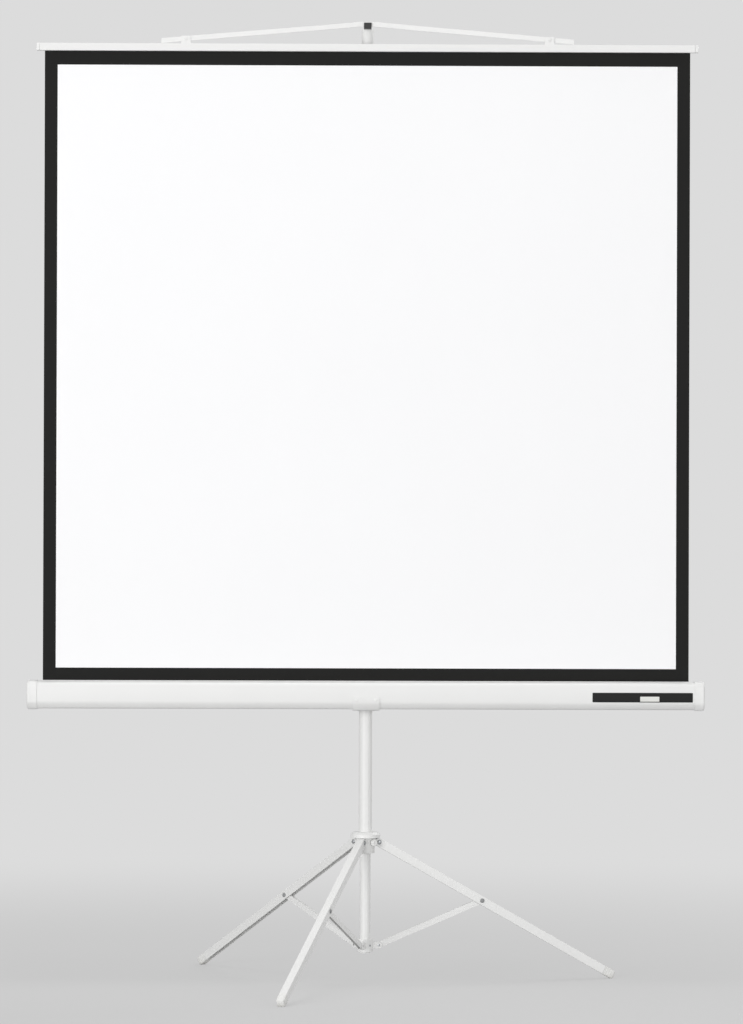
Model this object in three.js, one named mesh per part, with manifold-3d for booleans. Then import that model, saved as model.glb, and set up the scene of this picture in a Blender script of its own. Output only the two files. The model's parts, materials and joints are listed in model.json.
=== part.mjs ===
// Tripod projection screen: a spring-wound screen in a case, on a telescopic mast with folding legs.
// Millimetres, +Z up, the screen faces -Y. Heights are above the floor with the legs open.

import * as THREE from 'three';
import { mergeVertices } from 'three/addons/utils/BufferGeometryUtils.js';
import Module from 'manifold-3d';

const wasm = await Module();
wasm.setup();

// Gaps between neighbouring pieces
const seatGap = 0.3;
const pinGap = 0.2;
const sideGap = 0.4;

// How far a cutter runs past the faces it cuts
const cutOver = 1;

// Facets round a tube, a turned body and a pin
const tubeSides = 24;
const bodySides = 32;
const pinSides = 12;
const endArcSteps = 6;

// Mast, post below it and extension rod above it
const mastRadius = 16;
const mastWall = 1.2;
const mastTop = 1330;
const postRadius = 13;
const postWall = 1.2;
const postTop = 740;
const rodRadius = 11;
const rodWall = 1;
const rodBottom = 1000;
const bushLength = 26;
const topBushLength = 60;

// Leg linkage, in the upright plane through the mast and one leg
const firstLegAzimuth = 11.4;
const legSpreadAngle = 120;
const pivotReach = 33;
const hubPinHeight = 339;
const collarPinHeight = 90;
const footReach = 620;
const footAxisHeight = 7;
const bracePinAlongLeg = 294;

// Leg channel, foot tip, brace and pins
const legWidth = 18;
const legDepth = 20;
const legWall = 1.5;
const footLength = 29;
const footSwell = 1;
const footPlugLength = 24;
const braceDepth = 14;
const braceWall = 1.5;
const pivotPinRadius = 3;
const rivetHeadRadius = 5.5;
const rivetHeadHeight = 2.4;
const rivetShoulderShare = 0.45;
const rivetCrownShare = 0.6;

// Hub and lower collar
const hubRadius = 22.5;
const hubBelowPin = 26;
const hubFloor = 9;
const crownRadius = 36;
const crownHeight = 14;
const crownChamfer = 6;
const crownRoom = 1;
const lugRadius = 7.5;
const collarRadius = 19;
const collarBelowPin = 15;
const collarAbovePin = 16;
const earThickness = 2.5;
const endCapHeight = 3;
const endPlugHeight = 16;
const setScrewRadius = 2.5;

// Thumb knobs
const knobAzimuth = -48.6;
const rodKnobAzimuth = 90;
const knobRadius = 8.5;
const knobHeight = 12;
const knobStemRadius = 3;
const knobStand = 2;
const knobEdge = 1.6;

// Clamp collar on top of the mast
const clampRadius = 20;
const clampHeight = 44;
const clampLip = 12;
const clampScrewDrop = 14;

// Case, with its long edges chamfered and softened
const caseOverhang = 36;
const caseHeight = 66;
const caseDepth = 62;
const caseCentreHeight = 696;
const caseRearGap = 32;
const caseWall = 1;
const caseTopChamfer = 9;
const caseLowChamfer = 15;
const caseRearChamfer = 8;
const caseSoftEdge = 4;
const slotWidth = 6;
const capLength = 24;
const capPlate = 4;
const capSwell = 2;
const capRound = 5;
const capRoundSteps = 3;

// Carriage and saddle that carry the case
const carriageRadius = 22;
const carriageHeight = 80;
const bossWidth = 40;
const bossHeight = 44;
const saddleWidth = 65;
const saddlePlate = 3;
const saddleLipHeight = 33;
const saddleRearHeight = 50;
const boltRadius = 5;
const boltHeadRadius = 9;
const boltHeadHeight = 4;
const boltHeadRoom = 1.5;
const leverWidth = 16;
const leverEyeRadius = 7;
const leverLength = 58;
const leverThickness = 6;
const leverEar = 3.5;
const leverPinRadius = 2.5;
const leverRise = 16;

// Roller inside the case
const rollerRadius = 12;
const rollerWall = 1.5;
const rollerEndGap = 18;
const rollerPlug = 16;
const gudgeonRadius = 5;
const gudgeonLength = 28;
const spindleLength = 430;
const springLength = 360;
const springWire = 2.5;
const woundTurnsThickness = 0.9;

// Fabric, slat and bail
const fabricWidth = 1555;
const fabricThickness = 1;
const slatOverhang = 19.5;
const slatHeight = 18;
const slatDepth = 16;
const slatWall = 1.2;
const slatBottom = 2246;
const slatCapLength = 7;
const bailReach = 497;
const bailTailRise = 0.8;
const bailPivotReach = 438;
const bailStraight = 16;
const bailGrip = 20;
const bailHookStretch = 105;
const bailWidth = 12;
const bailThickness = 3;
const bracketWidth = 23;
const bracketCheek = 3;
const bracketBase = 2.2;
const bracketCrown = 6.4;
const bailRivetRadius = 2.5;
const bailRivetHeadRadius = 4.5;
const bailRivetHeadHeight = 1.8;

// Rod cap and hook
const rodCapRadius = 14;
const rodCapLength = 46;
const rodCapTopWall = 6;
const hookFloorRise = 44.3;
const hookBase = 4;
const hookWidth = 18;
const hookBarPlane = -24;
const hookSlack = 0.8;
const hookLip = 3.7;
const hookLipRise = 10;
const hookHornRise = 12.6;
const hookRear = 8;

// Places worked out from the sizes above
const radians = THREE.MathUtils.degToRad;
const mastBore = mastRadius - mastWall;
const postBore = postRadius - postWall;
const hubBottom = hubPinHeight - hubBelowPin;
const crownBottom = hubPinHeight + legDepth / 2 + crownRoom;
const hubTop = crownBottom + crownHeight;
const mastBottom = hubBottom + hubFloor + seatGap;
const collarBottom = collarPinHeight - collarBelowPin;
const collarTop = collarPinHeight + collarAbovePin;
const legAzimuth = {
  right: firstLegAzimuth,
  left: firstLegAzimuth + legSpreadAngle,
  front: firstLegAzimuth + 2 * legSpreadAngle,
};
const legRun = footReach - pivotReach;
const legFall = hubPinHeight - footAxisHeight;
const legDrop = Math.atan2(legFall, legRun);
const legLength = Math.hypot(legRun, legFall);
const channelLength = legLength - footLength;
const channelInside = legWidth - 2 * legWall;
const earOutside = channelInside / 2 - sideGap;
const braceWidth = 2 * (earOutside - earThickness - sideGap);
const bracePin = {
  reach: pivotReach + bracePinAlongLeg * Math.cos(legDrop),
  height: hubPinHeight - bracePinAlongLeg * Math.sin(legDrop),
};
const braceRun = bracePin.reach - pivotReach;
const braceFall = bracePin.height - collarPinHeight;
const braceLength = Math.hypot(braceRun, braceFall);
const braceTurn = Math.atan2(braceFall, -braceRun);
const caseLength = fabricWidth + 2 * caseOverhang;
const slatLength = fabricWidth + 2 * slatOverhang;
const casePlane = -caseRearGap - caseDepth / 2;
const caseBottom = caseCentreHeight - caseHeight / 2;
const caseTop = caseCentreHeight + caseHeight / 2;
const shellEnd = caseLength / 2 - capPlate - seatGap;
const rollerEnd = caseLength / 2 - capPlate - rollerEndGap;
const woundRadius = rollerRadius + seatGap + woundTurnsThickness;
const fabricPlane = casePlane + woundRadius + seatGap + fabricThickness / 2;
const fabricTop = slatBottom - seatGap;
const slatTop = slatBottom + slatHeight;
const bailTailBottom = slatTop + bailTailRise;
const hookFloorHeight = slatTop + hookFloorRise;
const hookTop = hookFloorHeight + hookHornRise;
const bailRise = hookFloorHeight + seatGap - bailTailBottom;
const bailPivotShare = (bailReach - bailPivotReach) / (bailReach - bailGrip);
const bailPivotHeight = bailTailBottom + bailRise * bailPivotShare + bailWidth / 2;
const rodCapTop = hookFloorHeight - hookBase - seatGap;
const rodTop = rodCapTop - rodCapTopWall - seatGap;
const clampTop = mastTop + clampLip;
const clampBottom = clampTop - clampHeight;
const rodKnobHeight = mastTop - clampScrewDrop;
const leverPivot = {
  plane: carriageRadius + leverEyeRadius + sideGap,
  height: caseCentreHeight + leverRise,
};

// Paint, plastic, rubber, fabric and metal
const finish = (color, roughness, metalness = 0) => ({ color, roughness, metalness });
const paint = finish('#ecebe6', 0.4);
const darkPaint = finish('#3a3b3c', 0.5);
const paleNylon = finish('#f1f0ea', 0.45);
const blackNylon = finish('#1d1d1e', 0.5);
const greyRubber = finish('#c2c2bf', 0.85);
const zincSteel = finish('#a9abae', 0.35, 1);
const aluminium = finish('#c9cbcd', 0.35, 1);
const whiteFabric = finish('#fbfbfc', 0.9);

function mesh(name, geometry, look) {
  const piece = new THREE.Mesh(geometry, new THREE.MeshStandardMaterial(look));
  piece.name = name;
  return piece;
}

function group(...pieces) {
  const set = new THREE.Group();
  set.add(...pieces);
  return set;
}

function toSolid(geometry) {
  const bare = geometry.clone();
  bare.deleteAttribute('normal');
  bare.deleteAttribute('uv');
  const merged = mergeVertices(bare, 1e-4);
  return new wasm.Manifold(new wasm.Mesh({
    numProp: 3,
    vertProperties: new Float32Array(merged.attributes.position.array),
    triVerts: new Uint32Array(merged.index.array),
  }));
}

function toGeometry(solid) {
  const { vertProperties, triVerts } = solid.getMesh();
  const geometry = new THREE.BufferGeometry();
  geometry.setAttribute('position', new THREE.BufferAttribute(vertProperties, 3));
  geometry.setIndex(new THREE.BufferAttribute(triVerts, 1));
  return geometry;
}

function joinAndCut(bodies, cutters = []) {
  const whole = bodies.map(toSolid).reduce((sum, next) => sum.add(next));
  return toGeometry(cutters.map(toSolid).reduce((rest, next) => rest.subtract(next), whole));
}

// Solid of revolution about Z from [radius, height] corners that run anticlockwise
function turned(corners, segments = tubeSides) {
  const profile = corners.map(([radius, height]) => new THREE.Vector2(radius, height));
  return new THREE.LatheGeometry(profile, segments).rotateX(Math.PI / 2);
}

function ring(outer, inner, low, high, segments) {
  return turned([[inner, low], [outer, low], [outer, high], [inner, high], [inner, low]], segments);
}

function rod(radius, low, high, segments) {
  return turned([[0, low], [radius, low], [radius, high], [0, high]], segments);
}

const aboutX = (geometry) => geometry.rotateY(Math.PI / 2);
const aboutY = (geometry) => geometry.rotateX(-Math.PI / 2);

function block([x0, x1], [y0, y1], [z0, z1]) {
  const geometry = new THREE.BoxGeometry(x1 - x0, y1 - y0, z1 - z0);
  return geometry.translate((x0 + x1) / 2, (y0 + y1) / 2, (z0 + z1) / 2);
}

const span = (centre, width) => [centre - width / 2, centre + width / 2];
const ordered = (a, b) => [Math.min(a, b), Math.max(a, b)];

function outline(corners) {
  return new THREE.Shape(corners.map(([u, v]) => new THREE.Vector2(u, v)));
}

// Outline in (y, z), extruded along X
function alongX(shape, [x0, x1]) {
  const geometry = new THREE.ExtrudeGeometry(shape, { depth: x1 - x0, bevelEnabled: false });
  const basis = new THREE.Matrix4().makeBasis(
    new THREE.Vector3(0, 1, 0), new THREE.Vector3(0, 0, 1), new THREE.Vector3(1, 0, 0));
  return geometry.applyMatrix4(basis).translate(x0, 0, 0);
}

// Skin through rings of (y, z) corners in order of x, with its ends closed by fans
function loftedX(rings) {
  const sides = rings[0][1].length;
  const corners = rings.flatMap(([x, ring]) => ring.flatMap(([y, z]) => [x, y, z]));
  const last = (rings.length - 1) * sides;
  const faces = [];
  for (let i = 0; i < sides; i += 1) {
    const j = (i + 1) % sides;
    for (let base = 0; base < last; base += sides) {
      faces.push(base + i, base + j, base + sides + j, base + i, base + sides + j, base + sides + i);
    }
  }
  for (let i = 1; i + 1 < sides; i += 1) faces.push(0, i + 1, i, last, last + i, last + i + 1);
  const geometry = new THREE.BufferGeometry();
  geometry.setAttribute('position', new THREE.Float32BufferAttribute(corners, 3));
  geometry.setIndex(faces);
  return geometry;
}

// Outline in (x, z), extruded along Y about the plane y = centre
function acrossY(shape, width, centre = 0) {
  const geometry = new THREE.ExtrudeGeometry(shape,
    { depth: width, bevelEnabled: false, curveSegments: endArcSteps });
  const basis = new THREE.Matrix4().makeBasis(
    new THREE.Vector3(1, 0, 0), new THREE.Vector3(0, 0, 1), new THREE.Vector3(0, -1, 0));
  return geometry.applyMatrix4(basis).translate(0, centre + width / 2, 0);
}

// Bar with one round end at x = 0 and a square end, or with two round ends
function roundedBar(length, depth, bothEnds) {
  const radius = depth / 2;
  const shape = new THREE.Shape();
  shape.moveTo(0, -radius);
  shape.lineTo(length, -radius);
  if (bothEnds) shape.absarc(length, 0, radius, -Math.PI / 2, Math.PI / 2, false);
  else shape.lineTo(length, radius);
  shape.lineTo(0, radius);
  shape.absarc(0, 0, radius, Math.PI / 2, Math.PI * 1.5, false);
  return shape;
}

// Pin along Y with a domed head at each end, over a stack of the given width
function rivet(radius, stack, headRadius, headHeight) {
  const seat = stack / 2 + seatGap;
  const shoulder = seat + headHeight * rivetShoulderShare;
  const end = seat + headHeight;
  const crown = headRadius * rivetCrownShare;
  return aboutY(turned([
    [0, -end], [crown, -end], [headRadius, -shoulder], [headRadius, -seat], [radius, -seat],
    [radius, seat], [headRadius, seat], [headRadius, shoulder], [crown, end], [0, end],
  ], pinSides));
}

const pinHole = (x, z, width, radius = pivotPinRadius) =>
  aboutY(rod(radius + pinGap, -width, width, pinSides)).translate(x, 0, z);

const turnedTo = (geometry, azimuth) => geometry.rotateZ(radians(azimuth));
const radialHole = (radius, from, to, height, azimuth) =>
  turnedTo(aboutX(rod(radius, from, to, pinSides)).translate(0, 0, height), azimuth);

// Tripod

function legChannel() {
  const body = acrossY(roundedBar(channelLength, legDepth, false), legWidth);
  const hollow = block([-legDepth, channelLength + cutOver], span(0, channelInside),
    [-legDepth, legDepth / 2 - legWall]);
  return joinAndCut([body], [hollow, pinHole(0, 0, legWidth), pinHole(bracePinAlongLeg, 0, legWidth)]);
}

// The tip plugs the channel and is cut flat where it stands on the floor
function footTip(placing) {
  const tipDepth = legDepth + 2 * footSwell;
  const tipWidth = legWidth + 2 * footSwell;
  const tip = block([channelLength + seatGap, legLength], span(0, tipWidth), span(0, tipDepth));
  const plugTop = legDepth / 2 - legWall - seatGap;
  const plug = block([channelLength - footPlugLength, channelLength + cutOver],
    span(0, channelInside - 2 * seatGap), [-legDepth / 2, plugTop]);
  const tilted = [tip, plug].map((geometry) => toSolid(geometry.applyMatrix4(placing)));
  const aboveFloor = block([0, footReach * 2], span(0, footReach), [0, hubPinHeight]);
  return toGeometry(tilted[0].add(tilted[1]).intersect(toSolid(aboveFloor)));
}

// Channel that opens downwards when the legs are open
function brace() {
  const body = acrossY(roundedBar(braceLength, braceDepth, true), braceWidth);
  const hollow = block([-braceDepth, braceLength + braceDepth], span(0, braceWidth - 2 * braceWall),
    [braceWall - braceDepth / 2, braceDepth]);
  return joinAndCut([body], [hollow, pinHole(0, 0, legWidth), pinHole(braceLength, 0, legWidth)]);
}

function legSet(side) {
  const leg = group(
    mesh(`leg_${side}`, legChannel(), paint),
    mesh(`hub_pin_${side}`, rivet(pivotPinRadius, legWidth, rivetHeadRadius, rivetHeadHeight), zincSteel),
  );
  const braceRivet = mesh(`brace_rivet_${side}`,
    rivet(pivotPinRadius, legWidth, rivetHeadRadius, rivetHeadHeight), darkPaint);
  braceRivet.position.x = bracePinAlongLeg;
  leg.add(braceRivet);
  leg.position.set(pivotReach, 0, hubPinHeight);
  leg.rotation.y = legDrop;
  leg.updateMatrix();

  const collarPin = mesh(`collar_pin_${side}`,
    aboutY(rod(pivotPinRadius, -braceWidth / 2, braceWidth / 2, pinSides)), zincSteel);
  collarPin.position.x = braceLength;
  const strut = group(mesh(`brace_${side}`, brace(), paint), collarPin);
  strut.position.set(bracePin.reach, 0, bracePin.height);
  strut.rotation.y = braceTurn;

  const set = group(leg, strut, mesh(`foot_${side}`, footTip(leg.matrix), greyRubber));
  set.rotation.z = radians(legAzimuth[side]);
  return set;
}

function lugsFor(width, height, from, centres) {
  const lug = roundedBar(pivotReach - from, 2 * lugRadius, false);
  return Object.values(legAzimuth).flatMap((azimuth) => centres.map((centre) => {
    const plate = acrossY(lug, width, centre).rotateZ(Math.PI);
    return turnedTo(plate.translate(pivotReach, 0, height), azimuth);
  }));
}

const pivotHoles = (height) => Object.values(legAzimuth).map((azimuth) =>
  turnedTo(pinHole(pivotReach, height, legWidth), azimuth));

function hub() {
  const body = rod(hubRadius, hubBottom, hubTop, bodySides);
  const crown = turned([
    [0, crownBottom], [crownRadius, crownBottom], [crownRadius, hubTop - crownChamfer],
    [crownRadius - crownChamfer, hubTop], [0, hubTop],
  ], bodySides);
  const lugs = lugsFor(channelInside - 2 * sideGap, hubPinHeight, mastRadius + mastWall, [0]);
  const cuts = [
    rod(mastRadius + seatGap, hubBottom + hubFloor, hubTop + cutOver, bodySides),
    rod(postRadius + seatGap, hubBottom - cutOver, hubBottom + hubFloor + cutOver, bodySides),
    radialHole(knobStemRadius + pinGap, postRadius, hubRadius + cutOver, hubPinHeight, knobAzimuth),
    ...pivotHoles(hubPinHeight),
  ];
  return joinAndCut([body, crown, ...lugs], cuts);
}

// A folded leg closes over the ears, which hold the brace between them
function postCollar() {
  const body = rod(collarRadius, collarBottom, collarTop, bodySides);
  const earCentre = earOutside - earThickness / 2;
  const ears = lugsFor(earThickness, collarPinHeight, postRadius + postWall, [-earCentre, earCentre]);
  const cuts = [
    rod(postRadius + seatGap, collarBottom - cutOver, collarTop + cutOver, bodySides),
    radialHole(setScrewRadius + pinGap, postRadius, collarRadius + cutOver, collarPinHeight, knobAzimuth),
    ...pivotHoles(collarPinHeight),
  ];
  return joinAndCut([body, ...ears], cuts);
}

// Thumb screw on a radial axis; its tip bears on the tube at the given radius
function thumbScrew(tipRadius, seatRadius, height, azimuth) {
  const neck = seatRadius + knobStand;
  const end = neck + knobHeight;
  const screw = turned([
    [0, tipRadius + seatGap], [knobStemRadius, tipRadius + seatGap], [knobStemRadius, neck],
    [knobRadius - knobEdge, neck], [knobRadius, neck + knobEdge], [knobRadius, end - knobEdge],
    [knobRadius - knobEdge, end], [0, end],
  ]);
  return turnedTo(aboutX(screw).translate(0, 0, height), azimuth);
}

function tripod() {
  const postBottom = collarBottom - seatGap;
  const plugRadius = postBore - seatGap;
  const endCap = turned([
    [0, postBottom - endCapHeight], [postRadius, postBottom - endCapHeight],
    [postRadius, postBottom - seatGap], [plugRadius, postBottom - seatGap],
    [plugRadius, postBottom + endPlugHeight], [0, postBottom + endPlugHeight],
  ]);
  const setScrew = aboutX(rod(setScrewRadius, postRadius + seatGap, collarRadius, pinSides));
  return group(
    mesh('post_tube', ring(postRadius, postBore, postBottom, postTop), paint),
    mesh('post_end_cap', endCap, paleNylon),
    mesh('post_collar', postCollar(), paint),
    mesh('collar_screw', turnedTo(setScrew.translate(0, 0, collarPinHeight), knobAzimuth), zincSteel),
    mesh('hub', hub(), paint),
    mesh('leg_lock_knob', thumbScrew(postRadius, hubRadius, hubPinHeight, knobAzimuth), paleNylon),
    ...Object.keys(legAzimuth).map(legSet),
  );
}

// Mast and extension rod

function mastTube() {
  const drill = knobStemRadius + pinGap;
  return joinAndCut([ring(mastRadius, mastBore, mastBottom, mastTop)], [
    radialHole(drill, 0, mastRadius + cutOver, hubPinHeight, knobAzimuth),
    radialHole(drill, 0, mastRadius + cutOver, rodKnobHeight, rodKnobAzimuth),
  ]);
}

function mastClamp() {
  const inside = mastRadius + seatGap;
  const throat = rodRadius + sideGap;
  const ceiling = mastTop + seatGap;
  const body = turned([
    [inside, clampBottom], [clampRadius, clampBottom], [clampRadius, clampTop], [throat, clampTop],
    [throat, ceiling], [inside, ceiling], [inside, clampBottom],
  ]);
  const drill = radialHole(knobStemRadius + pinGap, 0, clampRadius + cutOver, rodKnobHeight, rodKnobAzimuth);
  return joinAndCut([body], [drill]);
}

function hook() {
  const bottom = rodCapTop + seatGap;
  const barFront = hookBarPlane - bailThickness / 2 - hookSlack;
  const barRear = hookBarPlane + bailThickness / 2 + hookSlack;
  const lipTop = hookFloorHeight + hookLipRise;
  return alongX(outline([
    [hookRear, bottom], [hookRear, hookTop], [barRear, hookTop], [barRear, hookFloorHeight],
    [barFront, hookFloorHeight], [barFront, lipTop],
    [barFront - hookLip, lipTop], [barFront - hookLip, bottom],
  ]), span(0, hookWidth));
}

function mast() {
  const bushBottom = hubPinHeight + knobStemRadius + sideGap;
  const bushOutside = mastBore - seatGap;
  const topBushTop = rodKnobHeight - knobStemRadius - sideGap;
  const capBottom = rodCapTop - rodCapLength;
  const capCeiling = rodCapTop - rodCapTopWall;
  const capBore = rodRadius + seatGap;
  const rodCap = turned([
    [0, capCeiling], [capBore, capCeiling], [capBore, capBottom],
    [rodCapRadius, capBottom], [rodCapRadius, rodCapTop], [0, rodCapTop],
  ]);
  const postBush = ring(bushOutside, postRadius + seatGap, bushBottom, bushBottom + bushLength);
  const topBush = ring(bushOutside, rodRadius + seatGap, topBushTop - topBushLength, topBushTop);
  return group(
    mesh('mast_tube', mastTube(), paint),
    mesh('post_bush', postBush, blackNylon),
    mesh('rod_bush', topBush, blackNylon),
    mesh('mast_clamp', mastClamp(), blackNylon),
    mesh('rod_lock_knob', thumbScrew(rodRadius, clampRadius, rodKnobHeight, rodKnobAzimuth), blackNylon),
    mesh('rod_tube', ring(rodRadius, rodRadius - rodWall, rodBottom, rodTop), paint),
    mesh('rod_cap', rodCap, paleNylon),
    mesh('bail_hook', hook(), blackNylon),
  );
}

// Case and what carries it

// Corners of the case's section in (y, z), grown or shrunk evenly by the given margin
function caseCorners(margin) {
  const front = -caseRearGap - caseDepth - margin;
  const rear = -caseRearGap + margin;
  const low = caseBottom - margin;
  const high = caseTop + margin;
  const shrink = margin * (2 - Math.SQRT2);
  const lowCut = caseLowChamfer + shrink;
  const topCut = caseTopChamfer + shrink;
  const rearCut = caseRearChamfer + shrink;
  return softened([
    [front, low + lowCut], [front + lowCut, low], [rear - rearCut, low], [rear, low + rearCut],
    [rear, high - rearCut], [rear - rearCut, high], [front + topCut, high], [front, high - topCut],
  ], caseSoftEdge);
}

const caseSection = (margin) => outline(caseCorners(margin));

// Corners of a closed outline, each cut back evenly along its two sides
function softened(corners, cut) {
  return corners.flatMap(([u, v], i) => {
    const sides = [corners.at(i - 1), corners[(i + 1) % corners.length]];
    return sides.map((next) => {
      const share = cut / Math.hypot(next[0] - u, next[1] - v);
      return [u + (next[0] - u) * share, v + (next[1] - v) * share];
    });
  });
}

function caseShell() {
  const body = alongX(caseSection(0), [-shellEnd, shellEnd]);
  const hollow = alongX(caseSection(-caseWall), [-shellEnd - cutOver, shellEnd + cutOver]);
  const slot = block([-shellEnd - cutOver, shellEnd + cutOver], span(fabricPlane, slotWidth),
    [caseTop - 2 * caseWall, caseTop + cutOver]);
  const boltHole = aboutY(rod(boltHeadRadius + boltHeadRoom, -caseWall, caseWall))
    .translate(0, -caseRearGap - caseWall / 2, caseCentreHeight);
  return joinAndCut([body], [hollow, slot, boltHole]);
}

// The cap's outer edge is rounded, and its socket slips over the end of the shell
function endCap(side) {
  const end = caseLength / 2;
  const rings = Array.from({ length: capRoundSteps + 1 }, (_, step) => {
    const angle = step / capRoundSteps * Math.PI / 2;
    const margin = capSwell - capRound * (1 - Math.sin(angle));
    return [side * (end - capRound * (1 - Math.cos(angle))), caseCorners(margin)];
  });
  rings.push([side * (end - capLength), caseCorners(capSwell)]);
  const socket = alongX(caseSection(seatGap),
    ordered(side * (end - capLength - cutOver), side * (end - capPlate)));
  return joinAndCut([loftedX(side < 0 ? rings : rings.reverse())], [socket]);
}

// Strip bent round the case, from its back to a short lip on its front
function saddle() {
  const outside = seatGap + saddlePlate;
  const cutWidth = span(0, saddleWidth + 2 * cutOver);
  const ceiling = caseTop + outside + cutOver;
  const lipTop = caseBottom - outside + saddleLipHeight;
  const aboveLip = block(cutWidth, span(casePlane - caseDepth / 2, caseDepth), [lipTop, ceiling]);
  const aboveRear = block(cutWidth, span(casePlane + caseDepth / 2, caseDepth),
    [caseCentreHeight + saddleRearHeight / 2, ceiling]);
  const boltHole = aboutY(rod(boltRadius + pinGap, -2 * saddlePlate, 2 * saddlePlate))
    .translate(0, -caseRearGap + seatGap, caseCentreHeight);
  return joinAndCut([alongX(caseSection(outside), span(0, saddleWidth))],
    [alongX(caseSection(seatGap), cutWidth), aboveLip, aboveRear, boltHole]);
}

function carriage() {
  const low = caseCentreHeight - carriageHeight / 2;
  const high = caseCentreHeight + carriageHeight / 2;
  const face = -caseRearGap + saddlePlate + 2 * seatGap;
  const boss = block(span(0, bossWidth), [face, -mastRadius / 2], span(caseCentreHeight, bossHeight));
  const earInside = leverWidth / 2 + sideGap;
  const ears = [-1, 1].map((side) => block(
    ordered(side * earInside, side * (earInside + leverEar)),
    [mastRadius + cutOver, leverPivot.plane + leverEyeRadius], span(leverPivot.height, 2 * leverEyeRadius)));
  const leverPinHole = aboutX(rod(leverPinRadius + pinGap, -bossWidth, bossWidth, pinSides))
    .translate(0, leverPivot.plane, leverPivot.height);
  return joinAndCut([rod(carriageRadius, low, high, bodySides), boss, ...ears], [
    rod(mastRadius + seatGap, low - cutOver, high + cutOver, bodySides),
    aboutY(rod(boltRadius + pinGap, -caseRearGap, -mastRadius / 2)).translate(0, 0, caseCentreHeight),
    leverPinHole,
  ]);
}

function clampLever() {
  const eye = aboutX(rod(leverEyeRadius, -leverWidth / 2, leverWidth / 2))
    .translate(0, leverPivot.plane, leverPivot.height);
  const arm = block(span(0, leverWidth), span(leverPivot.plane, leverThickness),
    [leverPivot.height - leverLength, leverPivot.height]);
  const bore = aboutX(rod(leverPinRadius + pinGap, -leverWidth, leverWidth, pinSides))
    .translate(0, leverPivot.plane, leverPivot.height);
  return joinAndCut([eye, arm], [bore]);
}

function pivotBolt() {
  const headRear = -caseRearGap;
  const tail = -mastRadius - 2 * sideGap;
  return aboutY(turned([
    [0, headRear - boltHeadHeight], [boltHeadRadius, headRear - boltHeadHeight], [boltHeadRadius, headRear],
    [boltRadius, headRear], [boltRadius, tail], [0, tail],
  ])).translate(0, 0, caseCentreHeight);
}

function caseSet() {
  const leverPinLength = leverWidth + 2 * (sideGap + leverEar);
  const leverPin = aboutX(rod(leverPinRadius, -leverPinLength / 2, leverPinLength / 2, pinSides));
  const section = (low, high, outer, inner) => aboutX(ring(outer, inner, low, high))
    .translate(0, casePlane, caseCentreHeight);
  const bore = gudgeonRadius + sideGap;
  const inside = rollerRadius - rollerWall;
  const plugStart = rollerEnd - rollerPlug;
  const roller = aboutX(turned([
    [bore, -rollerEnd], [rollerRadius, -rollerEnd], [rollerRadius, rollerEnd], [bore, rollerEnd],
    [bore, plugStart], [inside, plugStart], [inside, -plugStart], [bore, -plugStart], [bore, -rollerEnd],
  ])).translate(0, casePlane, caseCentreHeight);
  const axle = (low, high) => aboutX(rod(gudgeonRadius, low, high))
    .translate(0, casePlane, caseCentreHeight);
  const plateInside = caseLength / 2 - capPlate - seatGap;
  const springEnd = plugStart - seatGap;
  const springRadius = inside - seatGap;
  const spring = section(springEnd - springLength, springEnd, springRadius, springRadius - springWire);
  return group(
    mesh('carriage', carriage(), paint),
    mesh('case_pivot_bolt', pivotBolt(), zincSteel),
    mesh('case_lock_lever', clampLever(), blackNylon),
    mesh('lever_pin', leverPin.translate(0, leverPivot.plane, leverPivot.height), zincSteel),
    mesh('case_saddle', saddle(), paint),
    mesh('case_shell', caseShell(), paint),
    mesh('case_cap_left', endCap(-1), paleNylon),
    mesh('case_cap_right', endCap(1), paleNylon),
    mesh('roller_gudgeon', axle(-plateInside, -plateInside + gudgeonLength), zincSteel),
    mesh('spring_spindle', axle(plateInside - spindleLength, plateInside), zincSteel),
    mesh('roller_spring', spring, zincSteel),
    mesh('roller_tube', roller, aluminium),
    mesh('wound_fabric', section(-fabricWidth / 2, fabricWidth / 2, woundRadius, rollerRadius + seatGap),
      whiteFabric),
  );
}

// Slat, bail and fabric

function slatTube() {
  const end = slatLength / 2 - slatCapLength;
  const ends = [-end + seatGap, end - seatGap];
  const body = block(ends, span(fabricPlane, slatDepth), [slatBottom, slatTop]);
  const hollow = block([-end - cutOver, end + cutOver], span(fabricPlane, slatDepth - 2 * slatWall),
    [slatBottom + slatWall, slatTop - slatWall]);
  return joinAndCut([body], [hollow]);
}

function slatCap(side) {
  const inner = slatLength / 2 - slatCapLength;
  const ends = ordered(side * inner, side * slatLength / 2);
  return block(ends, span(fabricPlane, slatDepth), [slatBottom, slatTop]);
}

// One flat strip that climbs evenly from its tails to its grip, and is bent back to lie straight in the hook
function bail() {
  const bend = bailPivotReach - bailStraight;
  const path = [
    [-bailReach, fabricPlane], [-bend, fabricPlane], [-bailHookStretch, hookBarPlane],
    [-bailGrip, hookBarPlane], [bailGrip, hookBarPlane], [bailHookStretch, hookBarPlane],
    [bend, fabricPlane], [bailReach, fabricPlane],
  ];
  const holes = [-1, 1].map((side) => pinHole(0, 0, slatDepth, bailRivetRadius)
    .translate(side * bailPivotReach, fabricPlane, bailPivotHeight));
  return joinAndCut(path.slice(1).map((end, i) => bailStretch(path[i], end)), holes);
}

function bailStretch([x0, y0], [x1, y1]) {
  const half = bailThickness / 2;
  const plan = outline([[x0, y0 - half], [x1, y1 - half], [x1, y1 + half], [x0, y0 + half]]);
  const strip = new THREE.ExtrudeGeometry(plan, { depth: bailWidth, bevelEnabled: false });
  const position = strip.attributes.position;
  for (let i = 0; i < position.count; i += 1) {
    const climb = bailRise * (bailReach - Math.abs(position.getX(i))) / (bailReach - bailGrip);
    position.setZ(i, position.getZ(i) + bailTailBottom + climb);
  }
  return strip;
}

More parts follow.
